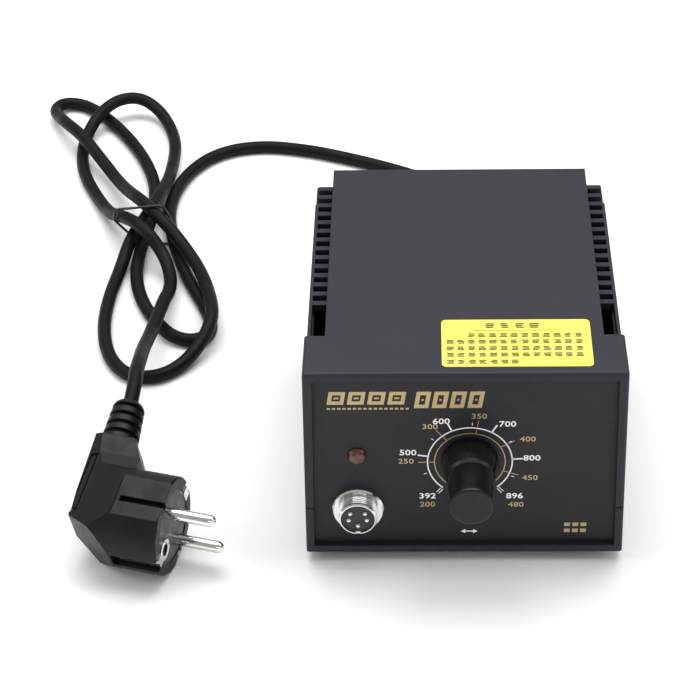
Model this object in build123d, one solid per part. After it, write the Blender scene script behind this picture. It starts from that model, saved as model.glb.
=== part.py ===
"""Soldering iron station: the control unit with its mains cord, tied in a loose bundle, and plug.

Millimetres, +Z up. X is across the front, -Y is the front, and the origin is on the table under the
middle of the unit. Each function below makes one sub-assembly and writes its nodes.
"""
from build123d import *
from math import cos, pi, radians, sin, tan
import os

os.makedirs("parts", exist_ok=True)

# ---- casing
case_width = 120.0          # across the top edge
case_flare = 0.85           # moulding draft: how much wider each side is at the bottom
case_height = 84.3
case_depth = 147.3
foot_height = 4.5
seam_z = 26.0               # where the lower case meets the upper cover
wall = 2.0
roof = 2.5
rim_depth = 2.5             # how far the front and rear panels sit behind their rims
panel_thickness = 2.0
knob_reach = 25.5           # how far the knob stands out in front of the rim
edge_radius = 1.6

front_y = -(case_depth + knob_reach + 9.2) / 2 + knob_reach
rear_y = front_y + case_depth
top_z = foot_height + case_height
floor_z = foot_height + roof
panel_y = front_y + rim_depth               # face of the front panel
panel_back_y = panel_y + panel_thickness
rear_panel_y = rear_y - rim_depth           # outer face of the rear panel
rear_panel_in_y = rear_panel_y - panel_thickness

# ---- openings for the panels, and the screw bosses
front_boss = (53.0, -52.0)
rear_boss = (53.5, 70.0)
boss_radius = 4.0
boss_foot = 14.0            # the cover's bosses come down to here
rear_boss_top = 50.0
front_rim_top = 3.6
front_rim_bottom = 3.0
front_rim_side = 3.6
rear_rim_side = 10.0
rear_opening = (14.0, 76.0)

# ---- top of the cover
plate_half_width = 52.2     # raised centre plate
block_depth = 25.0          # the full-width front block
channel_drop = 5.2          # the slotted side channels lie this far below the plate
channel_floor = 3.0
body_inset = 0.7            # the sides behind the front block are set in
lip_width = 1.3
slot_pitch = 6.55
slot_width = 3.65
slot_count = 14
first_slot = 58.1           # centre of the first short slot, from the front rim
long_slot = (26.5, 53.5)
lip_end = 127.2
label_size = (55.8, 30.4)
label_centre = (19.35, front_y + 19.6)

# ---- front panel fittings, as x and z
dial = (2.05, 46.85)
led = (-40.5, 49.5)
receptacle = (-40.5, 24.8)
cal_hole = (2.05, 18.35)
cal_hole_radius = 1.6

# ---- rear panel fittings, as x and z
bush = (22.0, 27.0)
fuse = (41.0, 27.0)
rocker = (-32.0, 50.0)
rocker_axis_y = rear_panel_y - 1.6
rocker_tilt = 12.0          # either side of level; it rests tilted towards +X
fuse_thread = 6.0
fuse_holder_depth = 22.0
bush_waist = 5.6
cord_tail_y = rear_panel_in_y - 10          # the cord's sheath ends here, inside the unit

# ---- knob and potentiometer
knob_radius = 8.3
skirt_radius = 10.8
skirt_length = 11.3
shaft_radius = 3.0
knob_front_y = front_y - knob_reach
knob_back_y = panel_y - 0.6
pointer_angle = 22.0                        # where the knob's pointer rests, in degrees from +X

# ---- circuit board
board_x = 44.0
board_y = (-59.0, -8.0)
board_z = 11.0
board_thickness = 1.6
board_top = board_z + board_thickness

# ---- transformer
core_size = (66.0, 30.0, 55.0)
core_leg = 11.0
core_centre = (8.0, 34.0)
core_z = 11.0

# ---- cord and plug
cord_diameter = 6.0
tie_diameter = 1.2
plug_face = (-111.4, -2.4, 19.3)            # centre of the plug's face, from the front rim
pin_heading = -16.0                         # degrees from +X, seen from above
stem_lift = 19.5                            # degrees that the stem rises from the table
pin_length = 19.0
pin_radius = 2.4
pin_shoulder = 0.8                          # the full radius starts here, in front of the face
socket_drop = 10.6                          # the round earth socket lies this far below the pins
pin_gap = 19.0
barrel_radius = 19.3
stem_x = -33.3                              # the stem's middle, behind the plug's face
stem_z = 31.0                               # where the stem meets the strain relief
relief_length = 20.0
relief_tilt = 5.7                           # degrees that the relief leans back from the stem

# The cord's route, from the bush behind the unit to the plug. It runs over the table in an arc and
# then goes five times through the tie, in four loops, and over itself in low humps.
cord_route = [
    (22, 110, 27), (22, 124, 26.5), (21.5, 137, 20), (20.5, 150, 10.5), (18, 166, 4), (13, 184, 3),
    (3, 201, 3), (-12, 215, 3), (-30, 226, 3), (-50, 236, 3), (-72, 245, 3), (-95, 249.5, 3),
    (-115, 243.5, 3), (-128, 227, 3), (-134.5, 206, 3), (-135.5, 185, 3.6), (-132.5, 165, 4.8),
    (-127.5, 145, 3.6), (-120.5, 125, 3), (-113, 107, 3), (-108.5, 93, 3), (-109.5, 83.5, 3),
    (-117, 79.5, 3), (-126, 83.5, 3), (-133.5, 94.5, 3), (-141, 109.5, 3), (-146, 128.5, 3),
    (-146.5, 149, 3.8), (-144, 170, 4.8), (-143, 191, 3.6), (-144.5, 212, 3), (-150, 232, 3),
    (-158.5, 251.5, 3), (-169, 270, 3), (-180, 285, 3), (-189.5, 293.5, 3), (-199, 293, 4),
    (-202.5, 283.5, 5), (-198, 272.5, 7), (-192.5, 260, 10.5), (-183, 245, 12),
    (-171.5, 228, 7.5), (-162, 209.5, 7), (-154.5, 190, 13), (-146, 171, 19.5), (-133, 156, 15.5),
    (-120.5, 139.5, 8), (-113.5, 120, 8.5), (-109, 100, 10.5), (-107.5, 85, 10.5),
    (-112.5, 71, 6), (-121, 59, 3), (-131.5, 52, 3), (-142.5, 54, 3), (-150.5, 65, 3),
    (-155, 79.5, 3), (-157, 97, 3), (-156.5, 117, 3), (-154, 137, 3), (-150.5, 154.5, 9),
    (-144, 169, 12.5), (-140, 188.5, 11.5), (-138, 209.5, 6.5), (-137.5, 230, 3),
    (-137.5, 250, 3), (-141.5, 268, 3), (-148.5, 281.5, 6), (-158.5, 287.5, 10),
    (-169.5, 283.5, 11), (-178, 272.5, 9), (-183.5, 257.5, 4), (-183.5, 239, 3),
    (-179.5, 220, 3), (-171.5, 201, 3), (-163, 180.5, 6.5), (-154.5, 163, 16), (-143.5, 150, 18.5),
    (-133.5, 140.5, 9), (-129.5, 127.5, 4.5), (-129.3, 114, 6), (-130, 102, 10.5),
    (-131.3, 88, 12), (-132.8, 73, 13.5), (-133, 55, 20), (-132.3, 37, 28.5), (-131.3, 21, 35.5),
    (-131.2, 7.5, 39.6), (-131, -3.2, 39.2),
]
bush_end_y = cord_route[0][1]


# ---- helpers

def write(node, *solids):
    """Write one node; several solids make a group."""
    shape = solids[0] if len(solids) == 1 else Compound(list(solids))
    export_step(shape, f"parts/{node}.step")


def block(x, y, z):
    """A box from its (low, high) limits along each axis."""
    size = [high - low for low, high in (x, y, z)]
    middle = [(high + low) / 2 for low, high in (x, y, z)]
    return Pos(*middle) * Box(*size)


def rod_y(radius, y, x=0.0, z=0.0):
    """A cylinder along Y, from its (low, high) limits."""
    return Pos(x, (y[0] + y[1]) / 2, z) * Rot(90, 0, 0) * Cylinder(radius, y[1] - y[0])


def rod_z(radius, z, x=0.0, y=0.0):
    return Pos(x, y, (z[0] + z[1]) / 2) * Cylinder(radius, z[1] - z[0])


def ring_y(outer, inner, y, x=0.0, z=0.0):
    return rod_y(outer, y, x, z) - rod_y(inner, (y[0] - 1, y[1] + 1), x, z)


def turned_y(profile, x=0.0, z=0.0):
    """A profile of (radius, y) points turned about the Y direction through x, z."""
    return Pos(x, 0, z) * revolve(make_face(Polyline(*profile, close=True)), Axis.Y)


def turned_z(profile, x=0.0, y=0.0):
    """A profile of (radius, z) points turned about the Z direction through x, y."""
    points = [(r, 0, z) for r, z in profile]
    return Pos(x, y, 0) * revolve(make_face(Polyline(*points, close=True)), Axis.Z)


def nut_y(across_flats, bore, y, x, z):
    """A hexagon nut along Y."""
    hexagon = RegularPolygon(across_flats / 2, 6, major_radius=False)
    nut = extrude(hexagon, (y[1] - y[0]) / 2, both=True)
    return Pos(x, (y[0] + y[1]) / 2, z) * Rot(90, 0, 0) * nut - rod_y(bore, (y[0] - 1, y[1] + 1), x, z)


def prism_y(profile, y):
    """A profile of (x, z) points drawn out along Y."""
    face = make_face(Polyline(*[(px, y[0], pz) for px, pz in profile], close=True))
    return extrude(face, y[1] - y[0], dir=(0, 1, 0))


def half_width(z, inset=0.0):
    return case_width / 2 + case_flare * (top_z - z) / case_height - inset


def tapered(z, inset, y):
    """A block with the casing's sloping sides, set in from them by inset."""
    low, high = half_width(z[0], inset), half_width(z[1], inset)
    return prism_y([(-low, z[0]), (low, z[0]), (high, z[1]), (-high, z[1])], y)


def both_sides(make):
    """The same cut or boss on the left and on the right."""
    return make(-1) + make(1)


def side_span(side, inner, outer):
    return (inner, outer) if side > 0 else (-outer, -inner)


# ---- casing


def case_outline():
    """The closed outer form that both shells are cut from."""
    form = tapered((foot_height, top_z), 0, (front_y, rear_y))
    form = fillet(form.edges().filter_by(Axis.X).group_by(Axis.Z)[-1], edge_radius)
    upright = form.edges().filter_by(lambda e: abs(e.tangent_at(0).Z) > 0.9).group_by(Axis.Y)
    return fillet(upright[0] + upright[-1], 1.2)


def front_opening():
    top, bottom = top_z - front_rim_top, foot_height + front_rim_bottom
    wide, narrow = half_width(bottom, 3.2), half_width(top, front_rim_side)
    outline = [(-wide, bottom), (wide, bottom), (narrow, top), (-narrow, top)]
    return prism_y(outline, (front_y - 1, panel_y))


def rear_cut():
    span = half_width(rear_opening[1], rear_rim_side)
    return block((-span, span), (rear_panel_y, rear_y + 1), rear_opening)


def slot_centres():
    return [front_y + first_slot + slot_pitch * i for i in range(slot_count)]


def channel_cuts():
    """The stepped channel along each top edge, with its row of slots through to the inside."""
    channel_z = top_z - channel_drop
    behind = front_y + block_depth

    def cuts(side):
        cut = block(side_span(side, plate_half_width, 70), (behind, rear_y + 1), (channel_z, 95))
        inner, outer = plate_half_width, half_width(channel_z, body_inset + lip_width)
        deep = (channel_z - channel_floor - 1, channel_z + 1)
        long_y = (front_y + long_slot[0], front_y + long_slot[1])
        cut += block(side_span(side, inner, outer), long_y, deep)
        for centre in slot_centres():
            open_side = centre > front_y + lip_end
            last = centre > rear_y - slot_pitch
            y = (centre - slot_width / 2, rear_y + 1 if last else centre + slot_width / 2)
            cut += block(side_span(side, inner, 70 if open_side else outer), y, deep)
        # behind the lip the ribs end a little further in than the wall
        cut += block(side_span(side, half_width(channel_z, 1.6), 70),
                     (front_y + lip_end, rear_y + 1), deep)
        # the sides behind the front block are set in, down to the seam
        cut += prism_y([(side * half_width(seam_z, body_inset), seam_z - 30),
                        (side * half_width(top_z, body_inset), top_z + 5),
                        (side * 75, top_z + 5), (side * 75, seam_z - 30)], (behind, rear_y + 1))
        return cut

    return both_sides(cuts)


def cavity():
    """The hollow inside both shells."""
    inside_y = (panel_y, rear_panel_y)
    behind_block = (front_y + block_depth - wall, rear_panel_y)
    side_roof = top_z - channel_drop - channel_floor
    hollow = tapered((floor_z, side_roof), wall + body_inset, inside_y)
    hollow += block((-plate_half_width + wall, plate_half_width - wall), behind_block,
                    (side_roof - 1, top_z - roof))
    hollow += tapered((floor_z, top_z - roof), wall, (inside_y[0], behind_block[0] + 0.01))
    return hollow


def casing():
    """Lower case and upper cover, which meet at the seam and hold both panels between them."""
    shell = case_outline() - cavity() - front_opening() - rear_cut() - channel_cuts()
    joint = 0.35            # a fine groove shows where the shells meet
    groove = tapered((seam_z - joint, seam_z + joint), -1, (front_y - 1, rear_y + 1))
    groove -= tapered((seam_z - 1, seam_z + 1), joint + body_inset, (front_y + joint, rear_y - joint))
    shell -= groove
    below = block((-90, 90), (-110, 110), (0, seam_z))
    above = block((-90, 90), (-110, 110), (seam_z, 95))

    cover = shell & above
    bosses = [(front_boss, top_z - roof), (rear_boss, rear_boss_top)]
    for (x, y), top in bosses:
        for side in (-1, 1):
            cover += rod_z(boss_radius, (boss_foot, top + 0.5), side * x, y)
            web = block(side_span(side, x, half_width(seam_z, wall + 0.3)), (y - 1, y + 1),
                        (seam_z, top))
            cover += web & tapered((seam_z, top_z - roof), wall / 2, (y - 1, y + 1))
            cover -= rod_z(1.55, (boss_foot - 1, boss_foot + 20), side * x, y)
    cover += block((-30, 30), (panel_back_y, panel_back_y + 1.5), (top_z - roof - 2.5, top_z - roof))
    cover += block((-30, 30), (rear_panel_in_y - 1.5, rear_panel_in_y),
                   (top_z - roof - 8.5, top_z - roof))
    write("upper_cover", cover)

    base = shell & below
    for (x, y), _ in bosses:
        for side in (-1, 1):
            base += rod_z(boss_radius + 0.3, (floor_z, boss_foot), side * x, y)
            base -= rod_z(1.8, (0, boss_foot + 1), side * x, y)
            base -= rod_z(3.7, (0, foot_height + 3.0), side * x, y)
    for x, y in board_posts():
        base += rod_z(3.5, (floor_z, board_z), x, y) - rod_z(1.2, (floor_z + 1, 20), x, y)
    for y in (core_centre[1] - 12, core_centre[1] + 12):
        base += block((core_centre[0] - 30, core_centre[0] + 30), (y - 1.5, y + 1.5), (floor_z, core_z))
    for x in bracket_holes():
        base += rod_z(4.5, (floor_z, core_z), x, core_centre[1])
        base -= rod_z(1.7, (floor_z + 0.5, core_z + 1), x, core_centre[1])
    base += block((-30, 30), (panel_back_y, panel_back_y + 1.5), (floor_z, floor_z + 2))
    base += block((-40, 40), (rear_panel_in_y - 1.5, rear_panel_in_y), (floor_z, floor_z + 4))
    for i in range(13):     # cooling slots in the floor, between the board and the transformer
        x = -36 + 6 * i
        base -= block((x - 1.25, x + 1.25), (-3, 15), (0, floor_z + 1))
    for x, y in foot_places():
        base -= rod_z(3.1, (0, foot_height + 1.6), x, y)
    write("lower_case", base)


def foot_places():
    return [(x, y) for x in (-46, 46) for y in (front_y + 14, rear_y - 26)]


def feet():
    """Rubber feet, each with a stub pressed into the case."""
    profile = [(0, 0), (5.2, 0), (6.2, 0.9), (6.6, foot_height), (3.0, foot_height),
               (3.0, foot_height + 1.5), (0, foot_height + 1.5)]
    write("rubber_feet", *[turned_z(profile, x, y) for x, y in foot_places()])


def case_screws():
    head_z = foot_height + 0.7
    profile = [(0, head_z), (3.3, head_z), (3.3, head_z + 2.2), (1.5, head_z + 2.2),
               (1.5, boss_foot + 9), (0, boss_foot + 10.5)]
    screws = []
    for x, y in (front_boss, rear_boss):
        for side in (-1, 1):
            screw = turned_z(profile, side * x, y)
            screw -= Pos(side * x, y, head_z) * (Box(4, 0.9, 2.4) + Box(0.9, 4, 2.4))
            screws.append(screw)
    write("case_screws", *screws)


def panels():
    top, bottom = top_z - roof - 0.2, floor_z + 0.1
    wide, narrow = half_width(bottom, wall + 0.3), half_width(top, wall + 0.3)
    outline = [(-wide, bottom), (wide, bottom), (narrow, top), (-narrow, top)]
    panel = prism_y(outline, (panel_y, panel_back_y))
    through = (panel_y - 1, panel_back_y + 1)
    panel -= rod_y(3.7, through, *dial)
    panel -= rod_y(3.8, through, *led)
    panel -= rod_y(7.6, through, *receptacle)
    panel -= rod_y(cal_hole_radius, through, *cal_hole)
    write("front_panel", panel)

    top = top_z - channel_drop - channel_floor - 0.3
    inset = wall + body_inset + 0.3
    wide, narrow = half_width(bottom, inset), half_width(top, inset)
    outline = [(-wide, bottom), (wide, bottom), (narrow, top), (-narrow, top)]
    panel = prism_y(outline, (rear_panel_in_y, rear_panel_y))
    through = (rear_panel_in_y - 1, rear_panel_y + 1)
    panel -= rod_y(bush_waist, through, *bush)
    panel -= rod_y(fuse_thread, through, *fuse)
    panel -= block((rocker[0] - 9.6, rocker[0] + 9.6), through, (rocker[1] - 6.6, rocker[1] + 6.6))
    write("rear_panel", panel)


def labels():
    width, depth = label_size
    sheet = extrude(RectangleRounded(width, depth, 2.0), 0.25)
    write("top_label", Pos(*label_centre, top_z) * sheet)
    plate = extrude(RectangleRounded(46, 22, 1.5), 0.25)
    write("rating_label", Pos(18, rear_panel_y, 58) * Rot(-90, 0, 0) * plate)


# ---- potentiometer and knob

def temperature_control():
    x, z = dial
    can_y = (panel_back_y, panel_back_y + 10.5)
    bush_y = (panel_y - 6.0, panel_back_y)
    can = rod_y(12.0, can_y, x, z) + block((x - 7, x + 7), (can_y[0] + 1, can_y[0] + 3.5), (z - 15, z))
    bushing = rod_y(3.5, bush_y, x, z)
    bore = rod_y(shaft_radius + 0.05, (bush_y[0] - 1, can_y[1] - 1.2), x, z)
    hollow = rod_y(8.05, (can_y[0] + 5.95, can_y[0] + 8.05), x, z)
    write("pot_body", can + bushing - bore - hollow)
    tags = [block((x + dx - 0.9, x + dx + 0.9), (can_y[0] + 2.1, can_y[0] + 2.6), (z - 20, z - 15))
            for dx in (-5, 0, 5)]
    write("pot_terminals", *tags)
    write("pot_washer", ring_y(6.0, 3.6, (panel_y - 0.6, panel_y), x, z))
    write("pot_nut", nut_y(10.0, 3.55, (panel_y - 2.8, panel_y - 0.6), x, z))

    shaft = rod_y(shaft_radius, (knob_front_y + 4.0, can_y[0] + 9.0), x, z)
    shaft += rod_y(8.0, (can_y[0] + 6.0, can_y[0] + 8.0), x, z)
    flat = block((x - 4, x + 4), (knob_front_y + 3, knob_front_y + 14), (z - 4, z - 2.2))
    write("pot_shaft", shaft - flat)

    step_y = knob_back_y - skirt_length
    profile = [
        (0, knob_front_y), (knob_radius - 0.9, knob_front_y), (knob_radius - 0.2, knob_front_y + 0.3),
        (knob_radius, knob_front_y + 1.0), (knob_radius + 0.25, step_y), (skirt_radius - 1.5, step_y + 1.4),
        (skirt_radius - 0.7, step_y + 4.5), (skirt_radius, knob_back_y - 1.0),
        (skirt_radius, knob_back_y), (9.6, knob_back_y), (8.8, step_y + 4.0), (0, step_y + 4.0)]
    knob = turned_y(profile, x, z)
    knob -= shaft - flat
    knob -= rod_z(1.5, (z - 12, z - 2.2), x, knob_front_y + 9)
    pointer = Pos(x, 0, z) * Rot(0, -pointer_angle, 0)
    knob -= pointer * block((8.9, 12), (step_y + 0.8, knob_back_y + 1), (-0.5, 0.5))
    write("control_knob", knob)
    screw = rod_z(1.45, (z - 7.2, z - 2.25), x, knob_front_y + 9)
    write("knob_set_screw", screw - rod_z(0.75, (z - 8, z - 5), x, knob_front_y + 9))


# ---- front panel fittings

def power_lamp():
    x, z = led
    tip = panel_y - 2.3
    radius = 3.7
    dome = [(0, tip)]
    for degrees in (25, 50, 75):
        turn = radians(degrees)
        dome.append((radius * sin(turn), tip + 2.3 * (1 - cos(turn))))
    lens = turned_y(dome + [(radius, panel_y), (radius, panel_back_y), (4.3, panel_back_y),
                            (4.3, panel_back_y + 1.2), (radius, panel_back_y + 1.2),
                            (radius, panel_back_y + 4.5), (0, panel_back_y + 4.5)], x, z)
    write("power_lamp", lens)
    clip = ring_y(5.6, 4.35, (panel_back_y, panel_back_y + 3.0), x, z)
    clip += ring_y(5.6, 3.75, (panel_back_y + 1.25, panel_back_y + 2.2), x, z)
    write("lamp_clip", clip)
    legs = [rod_y(0.3, (panel_back_y + 4.5, panel_back_y + 14), x + dx, z) for dx in (-1.27, 1.27)]
    write("lamp_legs", *legs)


def pin_places():
    x, z = receptacle
    angles = (-90, -15, 38, 142, 195)
    return [(x + 3.6 * cos(radians(a)), z + 3.6 * sin(radians(a))) for a in angles]


def iron_receptacle():
    """Five-pole receptacle that the iron's lead screws onto."""
    x, z = receptacle
    front = front_y - 5.4
    flange_y = (panel_y - 2.6, panel_y)
    crest, root, bore = 7.4, 6.95, 6.5
    profile = [(bore, front), (crest - 0.5, front), (crest, front + 0.5)]
    pitch = 1.0
    threads = int((flange_y[0] - front - 0.8) / pitch)
    for i in range(threads):
        start = front + 0.9 + pitch * i
        profile += [(crest, start), (root, start + pitch * 0.3), (root, start + pitch * 0.5),
                    (crest, start + pitch * 0.8)]
    profile += [(crest, flange_y[0]), (9.4, flange_y[0]), (9.9, flange_y[0] + 0.5),
                (9.9, flange_y[1]), (crest, flange_y[1]), (crest, panel_back_y + 9),
                (bore - 0.7, panel_back_y + 9), (bore - 0.7, front + 5.0), (bore, front + 5.0)]
    shell = turned_y(profile, x, z)
    shell -= block((x - 0.9, x + 0.9), (front - 1, front + 0.9), (z - 7.6, z - 6.0))
    write("receptacle_shell", shell)
    insulator = rod_y(bore - 0.05, (front + 1.0, front + 4.9), x, z)
    insulator += rod_y(bore - 0.75, (front + 4.6, panel_back_y + 9.5), x, z)
    pins = []
    for px, pz in pin_places():
        insulator -= rod_y(0.9, (front, panel_back_y + 12), px, pz)
        dome = [(0, front + 0.1), (0.45, front + 0.2), (0.75, front + 0.45), (0.9, front + 0.8)]
        pins.append(turned_y([*dome, (0.9, panel_back_y + 14), (0, panel_back_y + 14)], px, pz))
    write("receptacle_insulator", insulator)
    write("receptacle_pins", *pins)
    write("receptacle_washer", ring_y(10.0, 7.5, (panel_back_y, panel_back_y + 0.8), x, z))
    write("receptacle_nut", nut_y(19.0, 7.45, (panel_back_y + 0.8, panel_back_y + 3.8), x, z))


# ---- circuit board

def board_posts():
    return [(x, y) for x in (-40, 40) for y in (-44, -12)]


def circuit_board():
    board = block((-board_x, board_x), board_y, (board_z, board_top))
    for x, y in board_posts():
        board -= rod_z(1.7, (board_z - 1, board_top + 1), x, y)
    write("main_board", board)
    screw = [(0, board_z - 2.8), (1.15, board_z - 2.8), (1.15, board_top), (2.8, board_top),
             (2.6, board_top + 1.6), (0, board_top + 1.9)]
    screws = []
    for x, y in board_posts():
        slot = block((x - 2, x + 2), (y - 0.35, y + 0.35), (board_top + 1.0, board_top + 3))
        screws.append(turned_z(screw, x, y) - slot)
    write("board_screws", *screws)

    can = [(0, 0), (6.0, 0), (6.5, 0.5), (6.5, 1.6), (6.1, 2.1), (6.5, 2.6), (6.5, 21.4),
           (6.0, 22), (4.8, 22), (4.8, 21.7), (0, 21.7)]
    cans = [Pos(x, -25, board_top) * turned_z(can) for x in (-20, -4)]
    write("filter_capacitors", *cans)
    write("control_chips", *[chip(14, y) for y in (-20, -34)])
    resistors = [resistor(24, -50 + 4 * i) for i in range(5)]
    write("resistors", *resistors)
    sink = block((26, 43.5), (-30, -16), (board_top, board_top + 24))
    sink -= block((28, 41.5), (-31, -18), (board_top - 1, board_top + 25))
    write("heat_sink", sink)
    triac = block((29.8, 39.8), (-22.4, -18), (board_top + 6, board_top + 15))
    triac += block((29.8, 39.8), (-19.3, -18), (board_top + 15, board_top + 21.5))
    triac -= rod_y(1.8, (-24, -16), 34.8, board_top + 18.3)
    write("triac", triac)
    legs = [block((x - 0.4, x + 0.4), (-21.2, -20.7), (board_top, board_top + 6))
            for x in (32.3, 34.8, 37.3)]
    write("triac_legs", *legs)
    terminal = block((-36, -11), (-17.5, -8.5), (board_top, board_top + 10))
    for i in range(5):
        x = -33.5 + 5 * i
        terminal -= rod_z(1.8, (board_top + 6, board_top + 11), x, -13)
        terminal -= block((x - 1.5, x + 1.5), (-10.5, -8), (board_top + 1.5, board_top + 5))
    write("terminal_block", terminal)


def chip(x, y):
    body = block((x - 3.2, x + 3.2), (y - 4.9, y + 4.9), (board_top + 0.8, board_top + 4.0))
    for i in range(4):
        ly = y - 3.81 + 2.54 * i
        for side in (-1, 1):
            near, far = x + side * 3.2, x + side * 3.9
            span = (min(near, far), max(near, far))
            body += block(span, (ly - 0.6, ly + 0.6), (board_top, board_top + 2.4))
    return body


def resistor(x, y):
    """An axial resistor lying along X, with its two bent legs."""
    z = board_top + 1.3
    body = Pos(x, y, z) * Rot(0, 90, 0) * Cylinder(1.2, 6.5)
    body += Pos(x, y, z) * Rot(0, 90, 0) * Cylinder(0.3, 10)
    for side in (-1, 1):
        body += rod_z(0.3, (board_top, z + 0.3), x + side * 4.9, y)
    return body


def calibration_trimmer():
    """Side-adjust trimmer behind the hole below the dial."""
    x, z = cal_hole
    body_y = (board_y[0], board_y[0] + 6.5)
    body = block((x - 3.6, x + 3.6), body_y, (board_top, z + 3.4))
    body -= rod_y(1.9, (body_y[0] - 1, body_y[0] + 3.5), x, z)
    write("trimmer_body", body)
    rotor = rod_y(1.85, (body_y[0] - 1.0, body_y[0] + 3.3), x, z)
    rotor -= block((x - 1.5, x + 1.5), (body_y[0] - 2, body_y[0] + 0.2), (z - 0.35, z + 0.35))
    write("trimmer_rotor", rotor)


# ---- transformer

def bracket_holes():
    return [core_centre[0] - 41, core_centre[0] + 41]


def transformer():
    x, y = core_centre
    length, stack, height = core_size
    window = core_leg                       # the windows are as wide as the outer legs
    middle = length / 2 - 2 * core_leg      # half of the centre leg
    core_y = (y - stack / 2, y + stack / 2)
    window_z = (core_z + core_leg, core_z + height - core_leg)
    core = block((x - length / 2, x + length / 2), core_y, (core_z, core_z + height))
    for side in (-1, 1):
        span = (x + middle, x + middle + window) if side > 0 else (x - middle - window, x - middle)
        core -= block(span, (core_y[0] - 1, core_y[1] + 1), window_z)
    write("transformer_core", core)

    gap = 0.3
    tube = (middle + gap, stack / 2 + gap)
    reach = (middle + window - gap, stack / 2 + window - gap)

    def sleeve(outer, inner, z):
        solid = block((x - outer[0], x + outer[0]), (y - outer[1], y + outer[1]), z)
        return solid - block((x - inner[0], x + inner[0]), (y - inner[1], y + inner[1]),
                             (z[0] - 1, z[1] + 1))

    low, high = window_z[0] + gap, window_z[1] - gap
    skin = (tube[0] + 1.0, tube[1] + 1.0)
    bobbin = sleeve(skin, tube, (low, high))
    bobbin += sleeve(reach, tube, (low, low + 1.2)) + sleeve(reach, tube, (high - 1.2, high))
    write("transformer_bobbin", bobbin)
    winding = sleeve((reach[0] - 1, reach[1] - 1), skin, (low + 1.2, high - 1.2))
    write("transformer_winding", fillet(winding.edges().filter_by(Axis.Z).group_by(
        lambda e: abs(e.center().X - x))[-1], 2.5))

    sheet = 1.2
    strap_y = (y - 9, y + 9)
    side_x = length / 2
    strap = block((x - side_x - sheet, x + side_x + sheet), strap_y,
                  (core_z + height, core_z + height + sheet))
    for side in (-1, 1):
        leg = (x + side_x, x + side_x + sheet) if side > 0 else (x - side_x - sheet, x - side_x)
        strap += block(leg, strap_y, (core_z, core_z + height))
        foot = (x + side_x, x + side_x + 14) if side > 0 else (x - side_x - 14, x - side_x)
        strap += block(foot, strap_y, (core_z, core_z + sheet))
    for hole in bracket_holes():
        strap -= rod_z(2.1, (core_z - 1, core_z + sheet + 1), hole, y)
    write("transformer_bracket", strap)
    profile = [(0, floor_z + 1), (1.65, floor_z + 1), (1.65, core_z + sheet), (3.6, core_z + sheet),
               (3.2, core_z + sheet + 2.2), (0, core_z + sheet + 2.6)]
    screws = []
    for hole in bracket_holes():
        cross = Pos(hole, y, core_z + sheet + 2.4) * (Box(4, 0.9, 2) + Box(0.9, 4, 2))
        screws.append(turned_z(profile, hole, y) - cross)
    write("transformer_screws", *screws)


# ---- rear panel fittings


def power_switch():
    """Rocker switch: its frame, its rocker on two stub pins, and its terminals."""
    x, z = rocker
    frame = block((x - 10.5, x + 10.5), (rear_panel_y, rear_panel_y + 1.8), (z - 7.5, z + 7.5))
    frame += block((x - 9.5, x + 9.5), (rear_panel_y - 14, rear_panel_y), (z - 6.5, z + 6.5))
    well = block((x - 8.3, x + 8.3), (rear_panel_y - 9, rear_panel_y + 3), (z - 5.3, z + 5.3))
    write("switch_body", frame - well - rod_z(1.05, (z - 6.2, z + 6.2), x, rocker_axis_y))
    outline = [(-7.2, 4.6), (0, 3.6), (7.2, 4.6), (7.0, 0.4), (4.0, -3.6), (-4.0, -3.6), (-7.0, 0.4)]
    paddle = extrude(make_face(Polyline(*outline, close=True)), 5.0, both=True)
    paddle += Cylinder(1.0, 12.2)
    write("switch_rocker", Pos(x, rocker_axis_y, z) * Rot(0, 0, -rocker_tilt) * paddle)
    tags = [block((x + dx - 0.4, x + dx + 0.4), (rear_panel_y - 22, rear_panel_y - 14),
                  (z - 2.4, z + 2.4)) for dx in (-6, 0)]
    write("switch_terminals", *tags)


def fuse_holder():
    """Panel fuse holder, with a cap that draws the fuse out to the rear."""
    x, z = fuse
    outer = rear_panel_y + 1.8
    inner = rear_panel_y - fuse_holder_depth
    body = rod_y(8.0, (rear_panel_y, outer), x, z)
    body += rod_y(fuse_thread - 0.1, (inner, rear_panel_y + 1), x, z)
    body -= rod_y(3.6, (inner + 2, outer + 1), x, z)
    write("fuse_holder", body)
    write("fuse_nut", nut_y(16.0, fuse_thread, (rear_panel_in_y - 3, rear_panel_in_y), x, z))
    side_z = z + fuse_thread - 0.1
    tags = [block((x - 2, x + 2), (inner - 6, inner), (z - 0.4, z + 0.4)),
            block((x - 2, x + 2), (inner + 2, inner + 9), (side_z, side_z + 0.7))]
    write("fuse_terminals", *tags)
    end = -knob_front_y
    cap = turned_y([(0, rear_panel_y - 2), (3.3, rear_panel_y - 2), (3.3, outer + 0.3), (6.6, outer + 0.3),
                    (6.6, outer + 1.4), (5.6, outer + 2.0), (5.4, end - 0.8), (4.8, end), (0, end)], x, z)
    grip = rod_y(0.5, (outer + 2.2, end + 1), 5.7, 0)
    for i in range(12):
        cap -= Pos(x, 0, z) * Rot(0, 30 * i, 0) * grip
    cap -= block((x - 3.2, x + 3.2), (end - 1.2, end + 1), (z - 0.5, z + 0.5))
    fuse_y = (rear_panel_y - 17, rear_panel_y + 3)
    cap -= rod_y(2.6, fuse_y, x, z)
    write("fuse_cap", cap)
    glass = ring_y(2.5, 2.1, (fuse_y[0] + 5, fuse_y[1] - 5), x, z)
    wire = rod_y(0.15, (fuse_y[0] + 5, fuse_y[1] - 5), x, z)
    ends = [rod_y(2.6, (y, y + 5), x, z) for y in (fuse_y[0], fuse_y[1] - 5)]
    write("fuse", ends[0] + ends[1] + glass + wire)


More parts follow.
